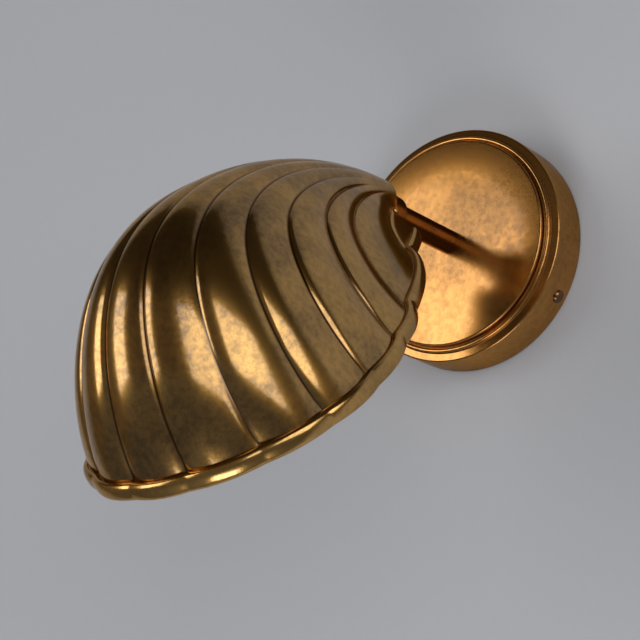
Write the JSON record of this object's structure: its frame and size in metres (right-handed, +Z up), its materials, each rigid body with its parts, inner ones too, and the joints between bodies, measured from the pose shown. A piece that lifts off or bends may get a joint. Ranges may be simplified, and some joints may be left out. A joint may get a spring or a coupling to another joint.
{
  "type": "wall sconce",
  "caption": "Wall light with a round stepped brass wall cover, a straight arm and a fluted scallop shell shade that turns on the arm's end.",
  "frame": {"origin": "centre of the wall cover's back face, where it meets the wall", "axes": "+Z up, +Y into the wall (the light faces -Y), +X to the right seen from the room"},
  "size_m": [0.1166, 0.2201, 0.1878],
  "materials": {
    "brass_aged": "aged antique brass, mottled brown in the hollows, satin polish on the crests",
    "brass_raw": "plain turned brass",
    "steel_zinc": "zinc plated steel",
    "block_plastic": "moulded off-white plastic",
    "holder_plastic": "black heat-proof plastic",
    "ceramic_core": null,
    "lamp_glass": "softly frosted glass",
    "nickel_thin": "thin nickel plated sheet",
    "fibre_washer": "red fibre"
  },
  "bodies": {
    "base": {"wall_cover": "brass_aged", "wall_bracket": "steel_zinc", "side_screws": "brass_aged", "earth_washer": "brass_raw", "earth_screw": "brass_raw", "terminal_block": "block_plastic", "terminal_fixings": "steel_zinc", "terminal_tubes": "brass_raw", "terminal_clamp_screws": "steel_zinc", "arm_tube": "brass_aged", "rear_nipple": "brass_raw", "rear_washer": "steel_zinc", "rear_nut": "brass_raw", "swivel_ferrule": "brass_aged", "swivel_nipple": "brass_raw", "spring_washer": "steel_zinc", "lock_nut": "brass_raw"},
    "shade": {"friction_washer": "fibre_washer", "shell_shade": "brass_aged", "rim_band": "brass_aged", "lamp_strip": "steel_zinc", "holder_nipple": "brass_raw", "holder_nut": "brass_raw", "holder_cap": "holder_plastic", "holder_skirt": "holder_plastic", "holder_core": "ceramic_core", "holder_shell": "nickel_thin", "holder_contact": "brass_raw"},
    "lamp": {"lamp_globe": "lamp_glass", "lamp_cap": "nickel_thin", "lamp_insulator": "holder_plastic", "lamp_tip": "brass_raw"}
  },
  "joints": [
    {"name": "shade_swivel", "type": "hinge", "parent": "base", "child": "shade", "pos_m": [0, -0.075, 0], "axis": [0, -1, 0], "range_deg": [-90, 90]},
    {"name": "lamp_out", "type": "slide", "parent": "shade", "child": "lamp", "axis": [0, -0.7429, -0.6694], "range_m": [0, 0.02]}
  ]
}
